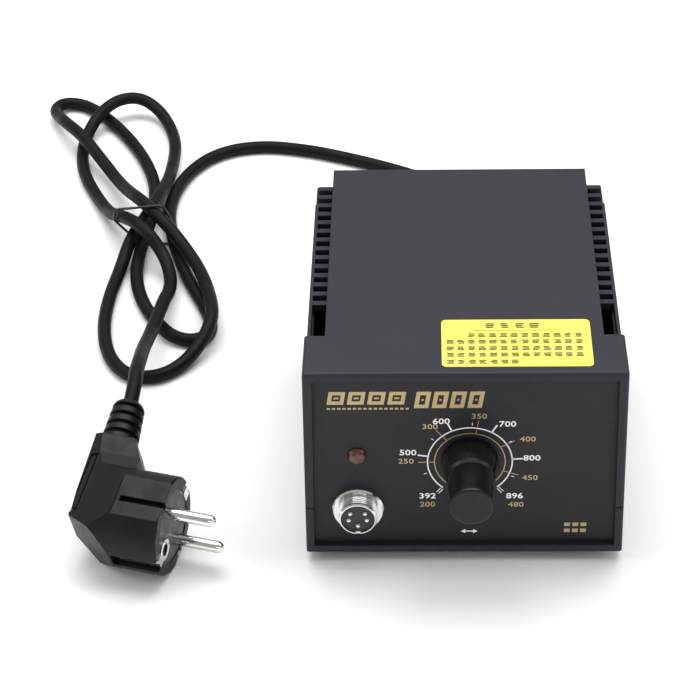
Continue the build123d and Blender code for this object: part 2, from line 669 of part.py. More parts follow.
def cord_bush():
    """Tapered strain relief, clamped in the rear panel, with ribs along its sleeve."""
    x, z = bush
    inner_y = rear_panel_in_y - 6
    profile = [(cord_diameter / 2, inner_y), (bush_waist + 1.6, inner_y),
               (bush_waist + 1.6, rear_panel_in_y), (bush_waist - 0.05, rear_panel_in_y),
               (bush_waist - 0.05, rear_panel_y), (8.2, rear_panel_y), (8.2, rear_panel_y + 2.5),
               (6.9, rear_panel_y + 3.5)]
    start, end = rear_panel_y + 6, bush_end_y - 3
    ribs = 5
    pitch = (end - start) / ribs
    for i in range(ribs):
        y = start + pitch * i
        radius = 6.7 - 2.3 * i / (ribs - 1)
        profile += [(radius, y), (radius - 1.0, y + 0.25), (radius - 1.0, y + pitch * 0.35),
                    (radius - 0.3, y + pitch * 0.35 + 0.25)]
    profile += [(4.3, end), (3.9, bush_end_y), (cord_diameter / 2, bush_end_y)]
    write("cord_bush", turned_y(profile, x, z))


# ---- mains cord, tie and plug

def plug_place():
    """The plug's own frame: X along the pins, Z along the stem."""
    heading, lift = radians(pin_heading), radians(stem_lift)
    pins = Vector(cos(heading), sin(heading), 0)
    stem = Vector(-sin(heading) * cos(lift), cos(heading) * cos(lift), sin(lift))
    centre = (plug_face[0], plug_face[1] + front_y, plug_face[2])
    return Plane(origin=centre, x_dir=pins, z_dir=stem).location


def relief_place():
    """The strain relief's own frame, in the plug's: Z along the cord."""
    return Pos(stem_x, 0, stem_z) * Rot(0, -relief_tilt, 0)


def cord_points():
    """The route's points, ending at the middle of the plug's strain relief."""
    end = plug_place() * relief_place() * Pos(0, 0, relief_length)
    return [Vector(*p) for p in cord_route] + [end.position]


def run_radii(points):
    """The largest arc at each corner: 0.45 of the shorter run over the tangent of half the turn."""
    radii = []
    for before, corner, after in zip(points, points[1:], points[2:]):
        run_in, run_out = corner - before, after - corner
        half_turn = radians(run_in.get_angle(run_out)) / 2
        radii.append(0.45 * min(run_in.length, run_out.length) / tan(half_turn))
    return radii


def tube(points, radii, diameter):
    path = FilletPolyline(*points, radius=radii)
    start = Plane(origin=points[0], z_dir=points[1] - points[0])
    return sweep(start * Circle(diameter / 2), path=path), path.length


def mains_cord():
    points = cord_points()
    radii = run_radii(points)
    cord, length = tube(points, radii, cord_diameter)
    section = pi * (cord_diameter / 2) ** 2
    print("cord length", round(length, 1), "mm, smallest radii", [round(r, 1) for r in sorted(radii)[:12]])
    print("cord volume", round(cord.volume), "section times length", round(section * length))
    held = rod_y(cord_diameter / 2, (cord_tail_y, bush_end_y), *bush)
    write("mains_cord", cord + held)


def cord_tie():
    """Wire tie drawn round the five strands of the bundle."""
    y = 163.0
    corners = [(-128.1, 0.7), (-147.2, 0.7), (-158.6, 13.9), (-157.8, 19.6), (-135.6, 21.7), (-128.1, 5.0)]
    path = FilletPolyline(*[Vector(x, y, z) for x, z in corners], radius=3.0, close=True)
    start = Plane(origin=path @ 0, z_dir=path % 0)
    write("cord_tie", sweep(start * Circle(tie_diameter / 2), path=path))


def outline_prism(plane, outline, thickness):
    """An outline on a plane, pushed out to both sides of it."""
    return extrude(plane * make_face(Polyline(*outline, close=True)), thickness / 2, both=True)


def plug_housing():
    """A round barrel that runs back into the sloping finger grip, with the stem's neck on top."""
    barrel = Pos(-22, 0, 0) * Rot(0, 90, 0) * Cylinder(barrel_radius, 44)
    barrel = chamfer(barrel.edges().group_by(Axis.X)[-1], 0.6)
    neck_view = [(-15.8, 0), (15.8, 0), (9.6, 21.5), (8.2, stem_z), (-8.2, stem_z), (-9.6, 21.5)]
    neck = Pos(-31.5, 0, 0) * outline_prism(Plane.YZ, neck_view, 25)
    side_view = [(2, -22), (-18, -20.1), (-39, -7.5), (-41.4, stem_z + 1), (-25.2, stem_z + 1),
                 (-18.5, 20.6), (-18.5, 23), (2, 23)]
    side = outline_prism(Plane.XZ, side_view, 60)
    plan_view = [(2, -20.5), (-14.5, -20.5), (-41.9, -6.4), (-41.9, 6.4), (-14.5, 20.5), (2, 20.5)]
    plan = outline_prism(Plane.XY, plan_view, 80)
    return (barrel + neck) & side & plan


def strain_relief():
    """Ribbed relief, from the stem to its end."""
    base, tip = 7.6, 6.3
    profile = [(0, -2), (base, -2)]
    for i in range(4):
        z = 2.2 + 4.3 * i
        radius = base - (base - tip) * z / relief_length
        profile += [(radius, z), (radius - 1.6, z + 0.2), (radius - 1.6, z + 1.7), (radius - 0.1, z + 1.9)]
    profile += [(tip - 0.3, relief_length - 1.6), (4.8, relief_length - 0.4), (3.6, relief_length),
                (0, relief_length)]
    return relief_place() * turned_z(profile)


def plug_channels():
    """What is cut out of the housing: guide flats and slots, earth channels and finger strips."""
    cuts = []
    slope = 14.1 / 27.4
    for side in (-1, 1):
        flat = (side * 17.2, side * 25)
        cuts.append(block((-19.5, 1), (min(flat), max(flat)), (-9.2, 9.2)))
        slot = (side * 14.6, side * 25)
        cuts.append(block((-17.8, 1), (min(slot), max(slot)), (-2.7, -0.3)))
        channel = (side * (barrel_radius - 2.9), side * 25)
        cuts.append(block((-18.6, 1), (-3.2, 3.2), (min(channel), max(channel))))
        middle = Pos(-37.6, side * (6.4 + 4.3 * slope), 7.5) * Rot(0, 0, side * 27.2)
        cuts.append(middle * (Box(4.6, 1.8, 27) - Pos(0, -side * 0.4, 0) * Box(1.8, 1.0, 24)))
    return cuts


def plug():
    place = plug_place()
    body = plug_housing() + strain_relief()
    for cut in plug_channels():
        body -= cut
    insert = Pos(-1.8, 0, 0) * Rot(0, 90, 0) * Cylinder(14.5, 3)
    body -= Pos(-1.3, 0, 0) * Rot(0, 90, 0) * Cylinder(14.5, 4)
    pins, clips = [], []
    root = pin_radius - 0.4             # the pin is thinner where it is held
    for side in (-1, 1):
        y = side * pin_gap / 2
        hole = Pos(0, y, 0) * Rot(0, 90, 0) * Cylinder(root, 20)
        body -= hole
        insert -= hole
        pin = [(0, -9), (root, -9), (root, pin_shoulder), (pin_radius, pin_shoulder),
               (pin_radius, pin_length - 2.2), (1.9, pin_length - 0.9), (1.0, pin_length - 0.15),
               (0, pin_length)]
        pins.append(Pos(0, y, 0) * Rot(0, 90, 0) * turned_z(pin))
        z = side * (barrel_radius - 2.9)
        base = (min(z, z + side * 0.8), max(z, z + side * 0.8))
        clip = block((-17, -0.6), (-2.4, 2.4), base)
        lip = (z - side * 3.0, z + side * 0.8)
        clip += block((-0.8, 0.4), (-2.4, 2.4), (min(lip), max(lip)))
        clips.append(clip)
    socket = Pos(0, 0, -socket_drop) * Rot(0, 90, 0)
    well = socket * Pos(0, 0, -5.5) * Cylinder(3.3, 13)
    insert -= well
    body -= well
    sleeve = [(2.5, -12), (3.3, -12), (3.3, -0.3), (4.3, -0.3), (4.3, 0.35), (2.5, 0.35)]
    clips[0] = clips[0] - socket * Cylinder(3.3, 20) + socket * turned_z(sleeve)
    for clip in clips:
        body -= clip
    write("plug_body", place * body)
    write("plug_pin_carrier", place * insert)
    write("plug_pins", *[place * pin for pin in pins])
    write("plug_earth_clips", *[place * (clip - insert) for clip in clips])


# ---- leads inside the casing

def lead(points, diameter, radius=2.0):
    """An insulated lead with rounded corners, its ends square to what they meet."""
    path = FilletPolyline(*[Vector(*p) for p in points], radius=radius)
    start = Plane(origin=path @ 0, z_dir=path % 0)
    return sweep(start * Circle(diameter / 2), path=path)


def mains_leads():
    x, z = bush
    tail, turn = cord_tail_y, cord_tail_y - 4
    fx, fz = fuse
    sx, sz = rocker
    tag_y = rear_panel_y - fuse_holder_depth
    above = core_z + core_size[2] + 6
    earth_x = core_centre[0] - core_size[0] / 2 - 11
    flange_x = core_centre[0] - 21.7
    to_fuse = [(x + 1.6, tail, z + 1), (x + 1.6, turn, z + 1), (fx - 8.5, tag_y - 3, z + 9),
               (fx, tag_y - 3, z + 9), (fx, tag_y - 3, fz + 0.4)]
    fuse_to_switch = [(fx, tag_y + 6, fz + fuse_thread + 0.6), (fx, tag_y + 6, above),
                      (sx, tag_y + 5, above), (sx, tag_y - 8, above), (sx, tag_y - 8, sz),
                      (sx, rear_panel_y - 22, sz)]
    switch_to_coil = [(sx - 6, rear_panel_y - 22, sz), (sx - 6, rear_panel_y - 29, sz),
                      (sx - 6, rear_panel_y - 29, sz + 8), (sx + 10, 54, sz + 8),
                      (sx + 12, 54, 54.1), (flange_x, 54, 54.1)]
    neutral = [(x, tail, z - 1.8), (x, turn, z - 1.8), (x - 5, turn, 22.9), (x - 5, 59.7, 22.9)]
    earth = [(x - 1.6, tail, z + 1), (x - 1.6, turn, z + 1), (-18, turn, 20), (earth_x, 48, 20),
             (earth_x, 40, 19), (earth_x, 40, core_z + 1.2)]
    runs = (to_fuse, fuse_to_switch, switch_to_coil, neutral, earth)
    write("mains_leads", *[lead(run, 1.2, 1.2) for run in runs])


def low_voltage_leads():
    """From the secondary winding to the terminal block, and from the board to the front panel."""
    front = core_centre[1] - 25.7
    runs = []
    for dx, tx in ((-10, -13.5), (-16, -18.5)):
        x = core_centre[0] + dx
        runs.append([(x, front, 54.1), (x, front - 6, 54.1), (tx, front - 6, board_top + 3.2),
                     (tx, -10.5, board_top + 3.2)])
    write("secondary_leads", *[lead(run, 1.2) for run in runs])

    runs = []
    x, z = dial
    tag_y = panel_back_y + 2.35
    for dx in (-5, 0, 5):
        runs.append([(x + dx, tag_y, z - 20), (x + dx, tag_y, z - 22.5), (x + dx, -49, z - 24.5),
                     (x + dx, -49, board_top)])
    x, z = led
    for side in (-1, 1):
        foot_x = -32.5 + 1.5 * side
        runs.append([(x + 1.27 * side, panel_back_y + 14, z), (x + 1.27 * side, panel_back_y + 19, z),
                     (foot_x, -38, board_top + 8), (foot_x, -38, board_top)])
    for (px, pz), foot_x in zip(pin_places(), (-36, -31, -33.5, -38.5, -41)):
        runs.append([(px, panel_back_y + 14, pz), (px, panel_back_y + 21, pz), (foot_x, -28, board_top + 7),
                     (foot_x, -28, board_top)])
    write("panel_leads", *[lead(run, 1.0, 1.2) for run in runs])


casing()
feet()
case_screws()
panels()
labels()
temperature_control()
power_lamp()
iron_receptacle()
circuit_board()
calibration_trimmer()
transformer()
power_switch()
fuse_holder()
cord_bush()
mains_cord()
cord_tie()
plug()
mains_leads()
low_voltage_leads()
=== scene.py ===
"""Looks for the soldering station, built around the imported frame. Metres, +Z up, -Y is the front."""
import math
import random

import bmesh
import bpy
from mathutils import Matrix, Vector


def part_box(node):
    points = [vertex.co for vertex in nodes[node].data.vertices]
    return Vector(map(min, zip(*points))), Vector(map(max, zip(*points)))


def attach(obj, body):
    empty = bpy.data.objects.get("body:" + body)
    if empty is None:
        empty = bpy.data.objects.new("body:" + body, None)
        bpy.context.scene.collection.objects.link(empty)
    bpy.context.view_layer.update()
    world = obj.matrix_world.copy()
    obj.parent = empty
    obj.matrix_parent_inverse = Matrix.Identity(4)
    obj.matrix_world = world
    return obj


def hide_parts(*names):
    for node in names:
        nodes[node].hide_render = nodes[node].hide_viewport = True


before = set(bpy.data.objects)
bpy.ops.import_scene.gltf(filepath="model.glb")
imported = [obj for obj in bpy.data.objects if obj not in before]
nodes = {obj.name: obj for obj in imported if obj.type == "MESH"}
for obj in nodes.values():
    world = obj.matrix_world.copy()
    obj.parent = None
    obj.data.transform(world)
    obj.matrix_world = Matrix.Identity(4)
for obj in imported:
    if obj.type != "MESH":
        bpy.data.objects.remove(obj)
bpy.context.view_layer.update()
MM = 0.001
random.seed(7)


def add_object(name, data):
    made = bpy.data.objects.new(name, data)
    bpy.context.scene.collection.objects.link(made)
    return made


# ---- camera

FOCAL_LENGTH = 120.79                   # mm, on a sensor of the width below
SENSOR_WIDTH = 36
CAMERA_PLACE = Vector((-0.01621, -0.76338, 0.58985))
ELEVATION = math.radians(35.058)        # how far the camera looks down
YAW = math.radians(-2.1136)             # how far it looks to the right of +Y
ROLL = math.radians(-1.490)


def make_camera():
    forward = Vector((math.sin(YAW) * math.cos(ELEVATION), math.cos(YAW) * math.cos(ELEVATION),
                      -math.sin(ELEVATION)))
    right = Vector((math.cos(YAW), -math.sin(YAW), 0))
    up = right.cross(forward)
    x_axis = right * math.cos(ROLL) + up * math.sin(ROLL)
    y_axis = -right * math.sin(ROLL) + up * math.cos(ROLL)
    data = bpy.data.cameras.new("camera")
    data.lens = FOCAL_LENGTH
    data.sensor_width = SENSOR_WIDTH
    camera = add_object("camera", data)
    turn = Matrix((x_axis, y_axis, -forward)).transposed().to_4x4()
    camera.matrix_world = Matrix.Translation(CAMERA_PLACE) @ turn
    bpy.context.scene.camera = camera


# ---- cord

CORD_DIAMETER = 6.0 * MM
CORD_STEPS = 8                  # along each span of the curve, and around each quarter of its section
# The route's points in millimetres, from the bush to the plug's strain relief, as part.py has them.
CORD_ROUTE = [
    (22, 110, 27), (22, 124, 26.5), (21.5, 137, 20), (20.5, 150, 10.5), (18, 166, 4), (13, 184, 3),
    (3, 201, 3), (-12, 215, 3), (-30, 226, 3), (-50, 236, 3), (-72, 245, 3), (-95, 249.5, 3),
    (-115, 243.5, 3), (-128, 227, 3), (-134.5, 206, 3), (-135.5, 185, 3.6), (-132.5, 165, 4.8),
    (-127.5, 145, 3.6), (-120.5, 125, 3), (-113, 107, 3), (-108.5, 93, 3), (-109.5, 83.5, 3),
    (-117, 79.5, 3), (-126, 83.5, 3), (-133.5, 94.5, 3), (-141, 109.5, 3), (-146, 128.5, 3),
    (-146.5, 149, 3.8), (-144, 170, 4.8), (-143, 191, 3.6), (-144.5, 212, 3), (-150, 232, 3),
    (-158.5, 251.5, 3), (-169, 270, 3), (-180, 285, 3), (-189.5, 293.5, 3), (-199, 293, 4),
    (-202.5, 283.5, 5), (-198, 272.5, 7), (-192.5, 260, 10.5), (-183, 245, 12),
    (-171.5, 228, 7.5), (-162, 209.5, 7), (-154.5, 190, 13), (-146, 171, 19.5), (-133, 156, 15.5),
    (-120.5, 139.5, 8), (-113.5, 120, 8.5), (-109, 100, 10.5), (-107.5, 85, 10.5),
    (-112.5, 71, 6), (-121, 59, 3), (-131.5, 52, 3), (-142.5, 54, 3), (-150.5, 65, 3),
    (-155, 79.5, 3), (-157, 97, 3), (-156.5, 117, 3), (-154, 137, 3), (-150.5, 154.5, 9),
    (-144, 169, 12.5), (-140, 188.5, 11.5), (-138, 209.5, 6.5), (-137.5, 230, 3),
    (-137.5, 250, 3), (-141.5, 268, 3), (-148.5, 281.5, 6), (-158.5, 287.5, 10),
    (-169.5, 283.5, 11), (-178, 272.5, 9), (-183.5, 257.5, 4), (-183.5, 239, 3),
    (-179.5, 220, 3), (-171.5, 201, 3), (-163, 180.5, 6.5), (-154.5, 163, 16), (-143.5, 150, 18.5),
    (-133.5, 140.5, 9), (-129.5, 127.5, 4.5), (-129.3, 114, 6), (-130, 102, 10.5),
    (-131.3, 88, 12), (-132.8, 73, 13.5), (-133, 55, 20), (-132.3, 37, 28.5), (-131.3, 21, 35.5),
    (-131.2, 7.5, 39.6), (-131, -3.2, 39.2), (-132.1, -12.05, 36.29),
]


def make_cord():
    data = bpy.data.curves.new("mains_cord_flex", "CURVE")
    data.dimensions = "3D"
    spline = data.splines.new("NURBS")
    spline.points.add(len(CORD_ROUTE) - 1)
    for point, place in zip(spline.points, CORD_ROUTE):
        point.co = [c * MM for c in place] + [1]
    spline.order_u = 3
    spline.use_endpoint_u = True
    spline.resolution_u = CORD_STEPS
    data.bevel_depth = CORD_DIAMETER / 2
    data.bevel_resolution = CORD_STEPS
    data.use_fill_caps = True
    cord = add_object("mains_cord_flex", data)
    cord.data.materials.append(cord_pvc())
    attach(cord, "station")
    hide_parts("mains_cord")


# ---- material building

NOISE_RANGE = (0.35, 0.65)      # where most of a noise's values lie


class Surface:
    """A Principled material whose colour, roughness and bump come from layered procedural noise."""

    def __init__(self, name, color, roughness, metallic=0.0, **sockets):
        self.material = bpy.data.materials.new(name)
        self.material.use_nodes = True
        self.tree = self.material.node_tree
        self.shader = self.tree.nodes["Principled BSDF"]
        self.shader.inputs["Metallic"].default_value = metallic
        self.shader.inputs["Roughness"].default_value = roughness
        self.shader.inputs["Base Color"].default_value = (*color, 1)
        for socket, value in sockets.items():
            self.shader.inputs[socket.replace("_", " ")].default_value = value
        self.color = self.tree.nodes.new("ShaderNodeRGB").outputs[0]
        self.color.default_value = (*color, 1)
        self.place = self.tree.nodes.new("ShaderNodeTexCoord").outputs["Object"]
        self.normal = None

    def node(self, kind, **values):
        made = self.tree.nodes.new(kind)
        for name, value in values.items():
            setattr(made, name, value)
        return made

    def link(self, source, target):
        self.tree.links.new(source, target)

    def stretched(self, stretch):
        """The object's coordinates, scaled along each axis."""
        mapping = self.node("ShaderNodeMapping")
        mapping.inputs["Scale"].default_value = stretch
        self.link(self.place, mapping.inputs["Vector"])
        return mapping.outputs[0]

    def noise(self, size_mm, detail=3, stretch=None):
        """Noise whose features are about size_mm across."""
        made = self.node("ShaderNodeTexNoise")
        made.inputs["Scale"].default_value = 1 / (size_mm * MM)
        made.inputs["Detail"].default_value = detail
        self.link(self.stretched(stretch) if stretch else self.place, made.inputs["Vector"])
        return made.outputs["Fac"]

    def cells(self, size_mm):
        """The distance from the middle of each cell, for cells about size_mm across."""
        made = self.node("ShaderNodeTexVoronoi")
        made.inputs["Scale"].default_value = 1 / (size_mm * MM)
        self.link(self.place, made.inputs["Vector"])
        return made.outputs["Distance"]

    def spread(self, source, low, high, to_low=0.0, to_high=1.0):
        """source from low to high becomes to_low to to_high, held within them."""
        made = self.node("ShaderNodeMapRange", clamp=True)
        limits = {"From Min": low, "From Max": high, "To Min": to_low, "To Max": to_high}
        for name, value in limits.items():
            made.inputs[name].default_value = value
        self.link(source, made.inputs["Value"])
        return made.outputs[0]

    def joined(self, operation, first, second):
        """Two values put through a Math operation; second is a socket or a plain number."""
        made = self.node("ShaderNodeMath", operation=operation)
        self.link(first, made.inputs[0])
        if isinstance(second, float):
            made.inputs[1].default_value = second
        else:
            self.link(second, made.inputs[1])
        return made.outputs[0]

    def turns_along_y(self, groove, pitch, start, end):
        """High in a thread's grooves, one of which is at y = groove, between start and end: the mask for
        painted shade in the grooves.
        """
        split = self.node("ShaderNodeSeparateXYZ")
        self.link(self.place, split.inputs[0])
        y = split.outputs["Y"]
        turns = self.node("ShaderNodeMapRange", clamp=False)
        turns.inputs["From Min"].default_value = groove
        turns.inputs["From Max"].default_value = groove + pitch
        self.link(y, turns.inputs["Value"])
        from_groove = self.joined("PINGPONG", turns.outputs[0], 0.5)
        groove_half, crest = 0.16, 0.36
        groove_shade = self.spread(from_groove, groove_half, crest, 1, 0)
        edge = 0.1 * MM
        past_start = self.spread(y, start, start + edge)
        before_end = self.spread(y, end - edge, end, 1, 0)
        return self.joined("MULTIPLY", groove_shade, self.joined("MULTIPLY", past_start, before_end))

    def tint(self, factor, color):
        """Mix color in over the base colour where factor is high."""
        mix = self.node("ShaderNodeMix", data_type="RGBA")
        self.link(factor, mix.inputs["Factor"])
        self.link(self.color, mix.inputs["A"])
        mix.inputs["B"].default_value = (*color, 1)
        self.color = mix.outputs["Result"]

    def mottle(self, size_mm, color, low=0.4, high=0.7, most=0.5):
        """Cloudy patches of another colour, at most this strong."""
        self.tint(self.spread(self.noise(size_mm, detail=4), low, high, 0, most), color)

    def specks(self, size_mm, color, share):
        """Fine dust or pigment specks, each this share of its cell and solid over its middle."""
        solid = share * 0.6
        self.tint(self.spread(self.cells(size_mm), solid, share, 1, 0), color)

    def roughness(self, size_mm, low, high, stretch=None):
        """Roughness from low to high, in patches about size_mm across."""
        value = self.spread(self.noise(size_mm, stretch=stretch), *NOISE_RANGE, low, high)
        self.link(value, self.shader.inputs["Roughness"])

    def bump(self, source, depth_mm):
        """Relief from source, over any that is already there."""
        made = self.node("ShaderNodeBump")
        made.inputs["Distance"].default_value = depth_mm * MM
        self.link(source, made.inputs["Height"])
        if self.normal is not None:
            self.link(self.normal, made.inputs["Normal"])
        self.normal = made.outputs[0]

    def grain(self, size_mm, depth_mm, detail=2, stretch=None):
        """Relief from noise."""
        self.bump(self.noise(size_mm, detail, stretch), depth_mm)

    def soft_edges(self, radius_mm):
        """Rounds sharp edges in the shading by a small radius."""
        bevel = self.node("ShaderNodeBevel", samples=4)
        bevel.inputs["Radius"].default_value = radius_mm * MM
        self.normal = bevel.outputs[0]

    def done(self):
        self.link(self.color, self.shader.inputs["Base Color"])
        if self.normal is not None:
            self.link(self.normal, self.shader.inputs["Normal"])
        return self.material


def scaled(color, factor, lift=0.0):
    return tuple(min(1, c * factor + lift) for c in color)


# ---- materials

def case_plastic():
    """Charcoal blue-grey moulded plastic with a fine spark-eroded grain."""
    s = Surface("case_plastic", (0.0165, 0.0195, 0.0270), 0.5, Specular_IOR_Level=0.28)
    s.soft_edges(0.45)
    s.mottle(38, (0.0200, 0.0235, 0.0320), most=0.4)
    s.mottle(0.7, (0.0110, 0.0130, 0.0185), low=0.5, most=0.55)
    s.specks(1.9, (0.075, 0.08, 0.10), share=0.05)
    s.roughness(14, 0.49, 0.54)
    s.grain(0.55, 0.035, detail=3)
    s.grain(3.2, 0.02)
    return s.done()


def panel_plastic():
    """Near-black sheet with an even matt grain."""
    s = Surface("panel_plastic", (0.0115, 0.0120, 0.0145), 0.5, Specular_IOR_Level=0.3)
    s.mottle(26, (0.0155, 0.0160, 0.0190), most=0.6)
    s.mottle(0.4, (0.0085, 0.009, 0.0105), low=0.5, high=0.72)
    s.specks(2.6, (0.08, 0.08, 0.085), share=0.035)
    s.roughness(9, 0.42, 0.52)
    s.grain(0.3, 0.012, detail=3)
    return s.done()


def knob_plastic():
    """Black, smoother than the panel."""
    s = Surface("knob_plastic", (0.004, 0.004, 0.005), 0.36, Specular_IOR_Level=0.3)
    s.soft_edges(0.3)
    s.mottle(6, (0.009, 0.009, 0.010), low=0.45)
    s.specks(2.4, (0.03, 0.03, 0.033), share=0.03)
    s.roughness(5.0, 0.3, 0.4)
    s.grain(0.35, 0.003)
    return s.done()


def yellow_label():
    """Glossy yellow film, a little wavy where it is stuck down."""
    s = Surface("yellow_label", (0.85, 0.765, 0.10), 0.42, Coat_Weight=0.15, Coat_Roughness=0.3)
    s.mottle(9, (0.88, 0.80, 0.13), most=0.6)
    s.mottle(0.5, (0.78, 0.68, 0.08), low=0.55, high=0.75, most=0.35)
    s.roughness(5, 0.36, 0.5)
    s.grain(0.25, 0.006)
    s.grain(12, 0.06)
    return s.done()


def silver_label():
    """Brushed foil, with its lines along X."""
    along_x = (0.05, 1, 1)
    s = Surface("silver_label", (0.62, 0.62, 0.64), 0.35, metallic=0.85)
    s.mottle(6, (0.70, 0.70, 0.71))
    s.roughness(0.25, 0.3, 0.45, along_x)
    s.grain(0.2, 0.004, stretch=along_x)
    return s.done()


def ink(name, color, roughness=0.4):
    """Screen-printed ink, slightly uneven."""
    s = Surface(name, color, roughness)
    s.mottle(0.45, scaled(color, 0.82), low=0.5, high=0.72)
    s.roughness(0.6, roughness - 0.06, roughness + 0.1)
    s.grain(0.12, 0.01)
    return s.done()


def gold_ink():
    """Metallic ink with darker and brighter flakes."""
    s = Surface("gold_ink", (0.50, 0.385, 0.19), 0.38, metallic=0.5)
    s.mottle(0.35, (0.30, 0.22, 0.10), low=0.5, most=0.75)
    s.specks(0.7, (0.85, 0.70, 0.40), share=0.2)
    s.roughness(0.5, 0.3, 0.5)
    s.grain(0.12, 0.01)
    return s.done()


def lamp_lens():
    """Dark red translucent lens, unlit, with a faceted inside."""
    s = Surface("lamp_lens", (0.10, 0.018, 0.013), 0.2, Coat_Weight=0.35, Coat_Roughness=0.08)
    s.mottle(1.2, (0.055, 0.010, 0.008), low=0.42, high=0.62, most=0.8)
    s.tint(s.spread(s.cells(1.6), 0.1, 0.35, 0.55, 0), (0.24, 0.07, 0.045))
    s.roughness(0.8, 0.1, 0.24)
    s.bump(s.cells(1.3), 0.10)
    return s.done()


def moulded(name, color, roughness=0.5, grain_mm=0.4, depth_mm=0.015):
    """Plain moulded plastic or rubber in some colour."""
    s = Surface(name, color, roughness)
    s.soft_edges(0.2)
    s.mottle(7, scaled(color, 1.25, 0.004))
    s.mottle(0.5, scaled(color, 0.72), low=0.5, high=0.75, most=0.4)
    s.roughness(4, roughness - 0.06, roughness + 0.08)
    s.grain(grain_mm, depth_mm)
    return s.done()


TARNISH = (0.35, 0.33, 0.30)


def plated(name, color, roughness, stretch=(1, 1, 1)):
    """Bright plating with faint machining lines and a few darker tarnish patches."""
    s = Surface(name, color, roughness, metallic=1.0)
    s.mottle(2.2, TARNISH, low=0.55, high=0.85, most=0.35)
    s.specks(0.9, scaled(color, 0.5), share=0.06)
    s.roughness(0.5, roughness - 0.05, roughness + 0.12, stretch)
    s.grain(0.22, 0.006, stretch=stretch)
    return s.done()


NICKEL = (0.80, 0.79, 0.77)


def threaded_nickel():
    """Bright plating with painted shade in the grooves along the receptacle's thread."""
    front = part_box("receptacle_shell")[0].y
    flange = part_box("front_panel")[0].y - 2.6 * MM
    pitch, first_groove, thread_start = 1.0 * MM, front + 1.3 * MM, front + 0.8 * MM
    s = Surface("threaded_nickel", NICKEL, 0.14, metallic=1.0)
    s.mottle(2.2, TARNISH, low=0.55, high=0.85, most=0.35)
    # painted shade: near-black colour in the thread's grooves, where shade falls between the turns
    s.tint(s.turns_along_y(first_groove, pitch, thread_start, flange), (0.03, 0.03, 0.032))
    s.roughness(0.5, 0.08, 0.24)
    s.grain(0.22, 0.006)
    return s.done()


def cord_pvc():
    """Smooth black sheath with a slight waviness."""
    s = Surface("cord_pvc", (0.0040, 0.0040, 0.0048), 0.5, Specular_IOR_Level=0.13)
    s.mottle(30, (0.0065, 0.0065, 0.0078), most=0.6)
    s.mottle(1.1, (0.0025, 0.0025, 0.003), low=0.5)
    s.specks(2.3, (0.05, 0.05, 0.055), share=0.04)
    s.roughness(8, 0.44, 0.58)
    s.grain(0.6, 0.004)
    s.grain(7, 0.04)
    return s.done()


def plug_pvc():
    """The plug's black moulding, with softened edges."""
    s = Surface("plug_pvc", (0.0045, 0.0045, 0.0055), 0.44, Specular_IOR_Level=0.22)
    s.soft_edges(0.6)
    s.mottle(16, (0.0085, 0.0085, 0.0105), most=0.6)
    s.mottle(0.8, (0.0030, 0.0030, 0.0036), low=0.5)
    s.specks(2.1, (0.06, 0.06, 0.07), share=0.04)
    s.roughness(6, 0.36, 0.5)
    s.grain(0.5, 0.02, detail=3)
    return s.done()


def board_laminate():
    """Green solder mask over copper tracks."""
    s = Surface("board_laminate", (0.015, 0.13, 0.05), 0.3, Coat_Weight=0.4, Coat_Roughness=0.15)
    tracks = s.node("ShaderNodeTexBrick")
    tracks.inputs["Scale"].default_value = 1 / (9 * MM)
    tracks.inputs["Mortar Size"].default_value = 0.05
    s.link(s.place, tracks.inputs["Vector"])
    s.tint(tracks.outputs["Fac"], (0.05, 0.25, 0.10))
    s.mottle(3, (0.01, 0.09, 0.035))
    s.bump(tracks.outputs["Fac"], 0.035)
    s.roughness(2, 0.24, 0.36)
    return s.done()


def core_steel():
    """Varnished laminations stacked along Y."""
    s = Surface("core_steel", (0.16, 0.15, 0.14), 0.45, metallic=0.6)
    sheets = s.noise(0.5, detail=1, stretch=(0.02, 1, 0.02))
    s.tint(s.spread(sheets, 0.45, 0.6, 0, 0.8), (0.07, 0.065, 0.06))
    s.mottle(5, (0.22, 0.15, 0.09), low=0.55, high=0.8, most=0.4)
    s.bump(sheets, 0.15)
    s.roughness(3, 0.38, 0.55)
    return s.done()


def winding_tape():
    """Yellow film with the wire's turns showing through it, stacked along Z."""
    s = Surface("winding_tape", (0.72, 0.48, 0.05), 0.28, Coat_Weight=0.5, Coat_Roughness=0.1)
    turns = s.noise(1.3, detail=2, stretch=(0.05, 0.05, 1))
    s.tint(s.spread(turns, 0.4, 0.6, 0, 0.6), (0.50, 0.31, 0.03))
    s.bump(turns, 0.12)
    s.roughness(2, 0.22, 0.36)
    return s.done()


def resistor_coat():
    """Beige lacquer with a coloured band about every 2.5 mm along X."""
    s = Surface("resistor_coat", (0.62, 0.50, 0.33), 0.35)
    bands = s.node("ShaderNodeTexWave", bands_direction="X")
    bands.inputs["Scale"].default_value = 125
    bands.inputs["Distortion"].default_value = 0.3
    s.link(s.place, bands.inputs["Vector"])
    s.tint(s.spread(bands.outputs["Fac"], 0.86, 0.9), (0.30, 0.03, 0.02))
    s.mottle(1, (0.70, 0.58, 0.40))
    s.roughness(1, 0.28, 0.42)
    return s.done()


def fuse_glass():
    """Pale, glossy and opaque."""
    s = Surface("fuse_glass", (0.86, 0.88, 0.88), 0.1, metallic=0.3)
    s.mottle(2, (0.95, 0.95, 0.95))
    s.roughness(1.5, 0.06, 0.18)
    s.grain(1.5, 0.01)
    return s.done()


def floor_paper():
    s = Surface("floor_paper", (0.96, 0.96, 0.962), 0.8)
    s.mottle(60, (0.95, 0.95, 0.953))
    s.roughness(30, 0.75, 0.88)
    return s.done()


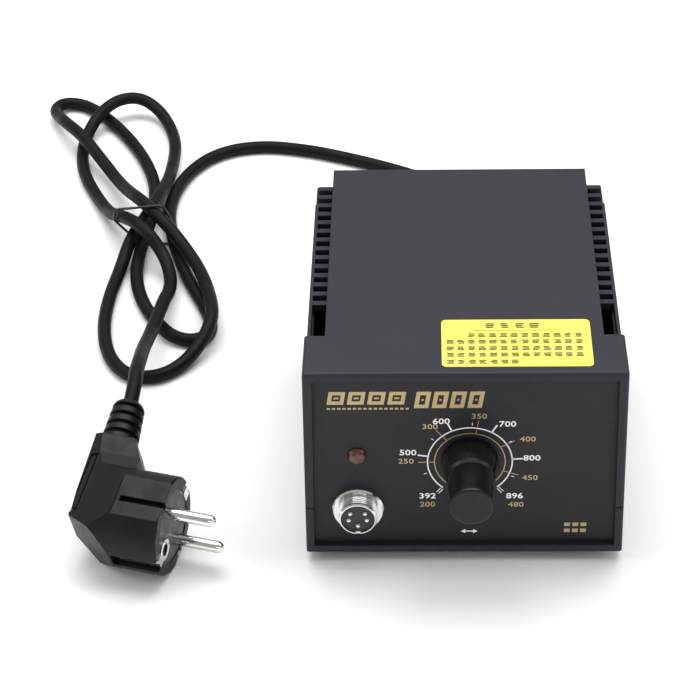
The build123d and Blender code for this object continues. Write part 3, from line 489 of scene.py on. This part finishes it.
def paint_nodes():
    """Give every carried-over CAD node its material."""
    nickel = plated("nickel_plate", NICKEL, 0.12, (1, 4, 1))
    pin_metal = plated("pin_metal", (0.80, 0.78, 0.75), 0.1, (0.2, 1, 1))
    zinc = plated("zinc_steel", (0.62, 0.63, 0.66), 0.3)
    brass = plated("tinned_brass", (0.66, 0.62, 0.52), 0.28)
    black = moulded("black_nylon", (0.018, 0.018, 0.019), 0.42)
    case, panel = case_plastic(), panel_plastic()
    finishes = {
        case: ["upper_cover", "lower_case"],
        panel: ["front_panel", "rear_panel"],
        knob_plastic(): ["control_knob"],
        yellow_label(): ["top_label"],
        silver_label(): ["rating_label"],
        lamp_lens(): ["power_lamp"],
        black: ["lamp_clip", "fuse_holder", "fuse_cap", "switch_body"],
        moulded("rocker_plastic", (0.012, 0.012, 0.013), 0.22): ["switch_rocker"],
        threaded_nickel(): ["receptacle_shell"],
        nickel: ["receptacle_nut", "receptacle_washer", "pot_nut", "pot_washer", "fuse_nut"],
        pin_metal: ["plug_pins", "plug_earth_clips"],
        moulded("bakelite", (0.016, 0.015, 0.014), 0.4): ["receptacle_insulator"],
        plated("gold_contact", (0.88, 0.84, 0.76), 0.2): ["receptacle_pins"],
        zinc: ["case_screws", "board_screws", "transformer_screws", "knob_set_screw",
               "transformer_bracket", "lamp_legs"],
        brass: ["pot_terminals", "switch_terminals", "fuse_terminals", "triac_legs"],
        plated("pot_metal", (0.60, 0.60, 0.61), 0.3, (1, 3, 1)): ["pot_body", "pot_shaft"],
        moulded("foot_rubber", (0.014, 0.014, 0.014), 0.75, 0.3, 0.03): ["rubber_feet"],
        moulded("bush_rubber", (0.014, 0.014, 0.015)): ["cord_bush"],
        plug_pvc(): ["plug_body"],
        moulded("plug_nylon", (0.022, 0.022, 0.024), 0.42): ["plug_pin_carrier"],
        moulded("tie_wire", (0.010, 0.010, 0.011), 0.35): ["cord_tie"],
        board_laminate(): ["main_board"],
        moulded("capacitor_sleeve", (0.02, 0.035, 0.12), 0.25): ["filter_capacitors"],
        moulded("chip_epoxy", (0.016, 0.016, 0.016), 0.6): ["control_chips", "triac"],
        resistor_coat(): ["resistors"],
        plated("heat_sink_metal", (0.25, 0.26, 0.28), 0.35, (1, 1, 6)): ["heat_sink"],
        moulded("terminal_green", (0.03, 0.22, 0.07), 0.4): ["terminal_block"],
        moulded("trimmer_blue", (0.03, 0.10, 0.40), 0.35): ["trimmer_body"],
        moulded("trimmer_white", (0.72, 0.72, 0.69), 0.4): ["trimmer_rotor"],
        core_steel(): ["transformer_core"],
        moulded("bobbin_nylon", (0.66, 0.64, 0.56), 0.45): ["transformer_bobbin"],
        winding_tape(): ["transformer_winding"],
        fuse_glass(): ["fuse"],
        moulded("lead_pvc", (0.42, 0.05, 0.03), 0.35): ["mains_leads", "secondary_leads", "panel_leads"],
    }
    for material, names in finishes.items():
        for name in names:
            slots = nodes[name].data.materials
            slots.clear()
            slots.append(material)


# ---- patches of print

INK = 0.04 * MM                         # how far print stands out
DIAL = (2.0 * MM, 46.4 * MM)            # the printed scale's centre, a little below the knob's
DIGIT_HEIGHT = 0.73                     # a digit's height in the built-in face, for a size of 1
DIGIT_STRETCH = 1.17                    # how much wider the digits are than the face's own
ARC_STEP = 3                            # degrees

# Patches are drawn in a plane's own x and y, which on the panel are X and Z.
ON_PANEL = (Matrix.Translation((0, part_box("front_panel")[0].y, 0))
            @ Matrix.Rotation(math.pi / 2, 4, "X"))
ON_LABEL = Matrix.Translation((0, 0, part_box("top_label")[1].z))


def slab(mesh, outline):
    """A flat patch with this outline, as thick as the ink."""
    low = [mesh.verts.new((x, y, 0)) for x, y in outline]
    high = [mesh.verts.new((x, y, INK)) for x, y in outline]
    mesh.faces.new(high)
    mesh.faces.new(low[::-1])
    for i in range(len(outline)):
        j = (i + 1) % len(outline)
        mesh.faces.new((low[i], low[j], high[j], high[i]))


def bar(mesh, x, y, width, height, angle=0.0):
    """A rectangle centred on x, y."""
    c, s = math.cos(angle), math.sin(angle)
    corners = [(u * width / 2, v * height / 2) for u, v in ((-1, -1), (1, -1), (1, 1), (-1, 1))]
    slab(mesh, [(x + c * u - s * v, y + s * u + c * v) for u, v in corners])


def polar(angle, radius):
    """A place by its angle in degrees and its distance from the dial's centre."""
    turn = math.radians(angle)
    return DIAL[0] + radius * math.cos(turn), DIAL[1] + radius * math.sin(turn)


def arc(mesh, radius, width, start, end):
    """A ring segment about the dial's centre, from start to end degrees."""
    steps = max(8, int(abs(end - start) / ARC_STEP))
    angles = [start + (end - start) * i / steps for i in range(steps + 1)]
    sides = [[polar(a, radius + side * width / 2) for a in angles] for side in (-1, 1)]
    rows = [[mesh.verts.new((x, y, z)) for x, y in side] for side in sides for z in (0, INK)]
    inner_low, inner_high, outer_low, outer_high = rows
    loops = (inner_low, inner_high, outer_high, outer_low)
    for k in range(4):
        one, two = loops[k], loops[(k + 1) % 4]
        for i in range(steps):
            mesh.faces.new((one[i], one[i + 1], two[i + 1], two[i]))
    mesh.faces.new([loop[0] for loop in loops])
    mesh.faces.new([loop[-1] for loop in loops][::-1])


def tick(mesh, angle, inner, outer, width):
    """A short line that points at the dial's centre."""
    x, y = polar(angle, (inner + outer) / 2)
    bar(mesh, x, y, outer - inner, width, math.radians(angle))


def number(mesh, value, x, y, height, weight):
    """A number in the plain built-in face, centred on x, y and thickened by weight."""
    data = bpy.data.curves.new("number", "FONT")
    data.body = str(value)
    data.size = height / DIGIT_HEIGHT
    data.align_x = "CENTER"
    data.align_y = "CENTER"
    data.offset = weight
    data.space_character = 1.05
    data.resolution_u = 4
    data.extrude = INK / 2
    made = add_object("number", data)
    bpy.context.view_layer.update()
    flat = bpy.data.meshes.new_from_object(made.evaluated_get(bpy.context.evaluated_depsgraph_get()))
    flat.transform(Matrix.Translation((x, y, INK / 2)) @ Matrix.Diagonal((DIGIT_STRETCH, 1, 1, 1)))
    mesh.from_mesh(flat)
    bpy.data.objects.remove(made)
    bpy.data.meshes.remove(flat)


def mesh_object(name, mesh, material, place=Matrix()):
    """Turn a finished bmesh into an object, with its points moved to their place."""
    data = bpy.data.meshes.new(name)
    mesh.to_mesh(data)
    mesh.free()
    data.transform(place)
    data.materials.append(material)
    return add_object(name, data)


def printed(name, mesh, place, material):
    """Make the patches into one piece, lying on a surface."""
    bmesh.ops.recalc_face_normals(mesh, faces=mesh.faces)
    made = mesh_object(name, mesh, material, place)
    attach(made, "station")


# ---- the dial's scales

SCALE_START = 230.7                     # the cold end, in degrees from +X
SCALE_SWEEP = 280.0
SCALE_END = SCALE_START - SCALE_SWEEP
FAHRENHEIT_ENDS = (392, 896)
CELSIUS_ENDS = (200, 480)
WHITE_RADIUS = 15.95 * MM
GOLD_RADIUS = 13.3 * MM
# Where the middle of each number is, in millimetres across and up from the floor.
FAHRENHEIT_NUMBERS = {500: (-21.3, 50.7), 600: (-8.8, 65.3), 700: (15.9, 63.95), 800: (25.3, 48.0),
                      896: (19.1, 29.8), 392: (-14.0, 29.9)}
CELSIUS_NUMBERS = {250: (-22.1, 46.6), 300: (-13.0, 62.85), 350: (5.3, 67.6), 400: (23.6, 56.9),
                   450: (24.8, 38.6), 480: (19.7, 25.65), 200: (-14.0, 25.85)}


def scale_angle(value, ends):
    cold, hot = ends
    return SCALE_START - SCALE_SWEEP * (value - cold) / (hot - cold)


def outer_scale(white):
    """Degrees Fahrenheit: a ring with long ticks at the hundreds and short ones between."""
    mesh = bmesh.new()
    arc(mesh, WHITE_RADIUS, 0.5 * MM, SCALE_START, SCALE_END)
    for value in range(500, 801, 100):
        tick(mesh, scale_angle(value, FAHRENHEIT_ENDS), WHITE_RADIUS, 19.9 * MM, 0.62 * MM)
    for value in range(450, 851, 100):
        tick(mesh, scale_angle(value, FAHRENHEIT_ENDS), 17.1 * MM, 18.3 * MM, 0.28 * MM)
    for limit in (SCALE_START, SCALE_END):
        for offset in (-1.6, 1.6):
            tick(mesh, limit + offset, 16.5 * MM, 19.2 * MM, 0.3 * MM)
    for value, (x, z) in FAHRENHEIT_NUMBERS.items():
        number(mesh, value, x * MM, z * MM, height=2.6 * MM, weight=0.06 * MM)
    printed("dial_scale_outer", mesh, ON_PANEL, white)


def inner_scale(gold):
    """Degrees Celsius: a ring whose ticks cross the outer ring."""
    mesh = bmesh.new()
    arc(mesh, GOLD_RADIUS, 0.36 * MM, SCALE_START, SCALE_END)
    for value in range(250, 451, 50):
        for inner, outer in ((GOLD_RADIUS, WHITE_RADIUS), (16.6 * MM, 19.4 * MM)):
            tick(mesh, scale_angle(value, CELSIUS_ENDS), inner, outer, 0.3 * MM)
    for value, (x, z) in CELSIUS_NUMBERS.items():
        number(mesh, value, x * MM, z * MM, height=2.4 * MM, weight=0.03 * MM)
    printed("dial_scale_inner", mesh, ON_PANEL, gold)


# ---- plain shapes in place of words

BLOCK_LEAN = 0.16                       # across, for each millimetre up


def adjust_mark(white):
    """A double-headed arrow under the calibration hole."""
    mesh = bmesh.new()
    x, z = DIAL[0], 12.66 * MM
    reach, neck, head = 3.2 * MM, 1.5 * MM, 1.0 * MM
    bar(mesh, x, z, reach, 0.5 * MM)
    for side in (-1, 1):
        base = x + side * neck
        slab(mesh, [(x + side * reach, z), (base, z + head), (base, z - head)])
    printed("adjust_mark", mesh, ON_PANEL, white)


def slanted(mesh, x, low, width, height):
    """A parallelogram standing on low, in millimetres."""
    shift = BLOCK_LEAN * height
    outline = [(x, low), (x + width, low), (x + width + shift, low + height), (x + shift, low + height)]
    slab(mesh, [(u * MM, v * MM) for u, v in outline])


def hollow_block(mesh, x, low, width, height, stroke):
    """A slanted frame with a short bar in it, in millimetres."""
    gap, bar_height = 0.7, 0.8
    for z in (low, low + height - stroke):
        slanted(mesh, x + BLOCK_LEAN * (z - low), z, width, stroke)
    for side in (0, width - stroke):
        slanted(mesh, x + BLOCK_LEAN * stroke + side, low + stroke, stroke, height - 2 * stroke)
    middle = low + height / 2 - bar_height / 2
    slanted(mesh, x + stroke + gap + BLOCK_LEAN * (middle - low), middle,
            width - 2 * stroke - 2 * gap, bar_height)


def panel_blocks(gold):
    """Slanted frames over a row of dashes at the panel's top left, and six blocks at its bottom right."""
    mesh = bmesh.new()
    wide = {"low": 73.3, "width": 6.2, "height": 5.8, "stroke": 1.5}
    tall = {"low": 71.6, "width": 5.4, "height": 7.5, "stroke": 1.6}
    for start, pitch, sizes in ((-51.3, 7.5, wide), (-19.0, 6.6, tall)):
        for i in range(4):
            hollow_block(mesh, start + pitch * i, **sizes)
    for i in range(16):
        bar(mesh, (-50.7 + 1.95 * i) * MM, 71.4 * MM, 1.2 * MM, 0.8 * MM)
    for row in range(2):
        for i in range(3):
            bar(mesh, (39.5 + 3.1 * i) * MM, (15.9 - 3.0 * row) * MM, 2.2 * MM, 1.7 * MM)
    printed("panel_blocks", mesh, ON_PANEL, gold)


def greeked(mesh, x, y, width, height):
    """A cell of three short bars, standing for a printed character that isn't there."""
    pitch = height / 3
    thickness = pitch * 0.66
    for row in (-1, 0, 1):
        share = random.uniform(0.7, 1.0)
        shift = random.uniform(-0.5, 0.5) * (1 - share) * width
        bar(mesh, x + shift, y + row * pitch, width * share, thickness)


def label_print(black):
    """A short heading, a rule, and five rows of cells, the first indented and the last short."""
    mesh = bmesh.new()
    for i in range(4):
        greeked(mesh, (9.8 + 5.5 * i) * MM, -34.7 * MM, 3.6 * MM, 3.4 * MM)
    bar(mesh, 19.4 * MM, -37.75 * MM, 32 * MM, 0.3 * MM)
    rows = ((2, 13, -41.0), (0, 13, -45.2), (0, 13, -49.5), (0, 13, -53.6), (0, 7, -58.1))
    for first, last, y in rows:
        for i in range(first, last):
            greeked(mesh, (-5.4 + 4.0 * i) * MM, y * MM, 2.9 * MM, 2.7 * MM)
    printed("label_print", mesh, ON_LABEL, black)


def rating_print(black):
    """Five rows of cells on the rear plate, which faces +Y."""
    low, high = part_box("rating_label")
    on_plate = Matrix.Translation((0, high.y, 0)) @ Matrix.Rotation(-math.pi / 2, 4, "X")
    mesh = bmesh.new()
    middle = (low.x + high.x) / 2
    for row in range(5):
        for i in range(9):
            x = middle + (i - 4) * 4.4 * MM
            y = -(high.z - (3.4 + 3.7 * row) * MM)
            greeked(mesh, x, y, random.uniform(2.0, 3.6) * MM, 1.5 * MM)
    printed("rating_print", mesh, on_plate, black)


def make_prints():
    white = ink("white_ink", (0.97, 0.97, 0.96))
    gold = gold_ink()
    black = ink("black_ink", (0.02, 0.02, 0.015), 0.45)
    outer_scale(white)
    inner_scale(gold)
    adjust_mark(white)
    panel_blocks(gold)
    label_print(black)
    rating_print(black)


# ---- floor and light

FLOOR_REACH = 4                 # metres each way
WORLD_STRENGTH = 0.42
# Each softbox's name, place, aim, width and height in metres, and power in watts.
SOFTBOXES = (
    ("overhead", (0.0, 0.5, 1.6), (0, 0.05, 0), (1.9, 1.4), 33),
    ("left", (-1.4, -0.2, 1.0), (0, 0, 0.05), (0.7, 1.0), 6),
    ("front", (0.1, -1.7, 0.75), (0, 0, 0.05), (1.4, 0.5), 3.5),
    ("right", (1.4, -0.2, 0.9), (0, 0, 0.05), (0.6, 1.0), 4.5),
)


def make_floor():
    mesh = bmesh.new()
    bmesh.ops.create_grid(mesh, x_segments=2, y_segments=2, size=FLOOR_REACH)
    mesh_object("floor", mesh, floor_paper())


def softbox(name, place, aim, size, power):
    data = bpy.data.lights.new(name, "AREA")
    data.shape = "RECTANGLE"
    data.size, data.size_y = size
    data.energy = power
    lamp = add_object(name, data)
    lamp.location = place
    lamp.rotation_euler = (Vector(aim) - Vector(place)).to_track_quat("-Z", "Y").to_euler()


def make_light():
    for settings in SOFTBOXES:
        softbox(*settings)
    world = bpy.data.worlds.new("studio")
    world.use_nodes = True
    background = world.node_tree.nodes["Background"]
    background.inputs["Color"].default_value = (1, 1, 1, 1)
    background.inputs["Strength"].default_value = WORLD_STRENGTH
    bpy.context.scene.world = world
    bpy.context.scene.view_settings.view_transform = "Standard"


make_camera()
make_cord()
paint_nodes()
make_prints()
make_floor()
make_light()
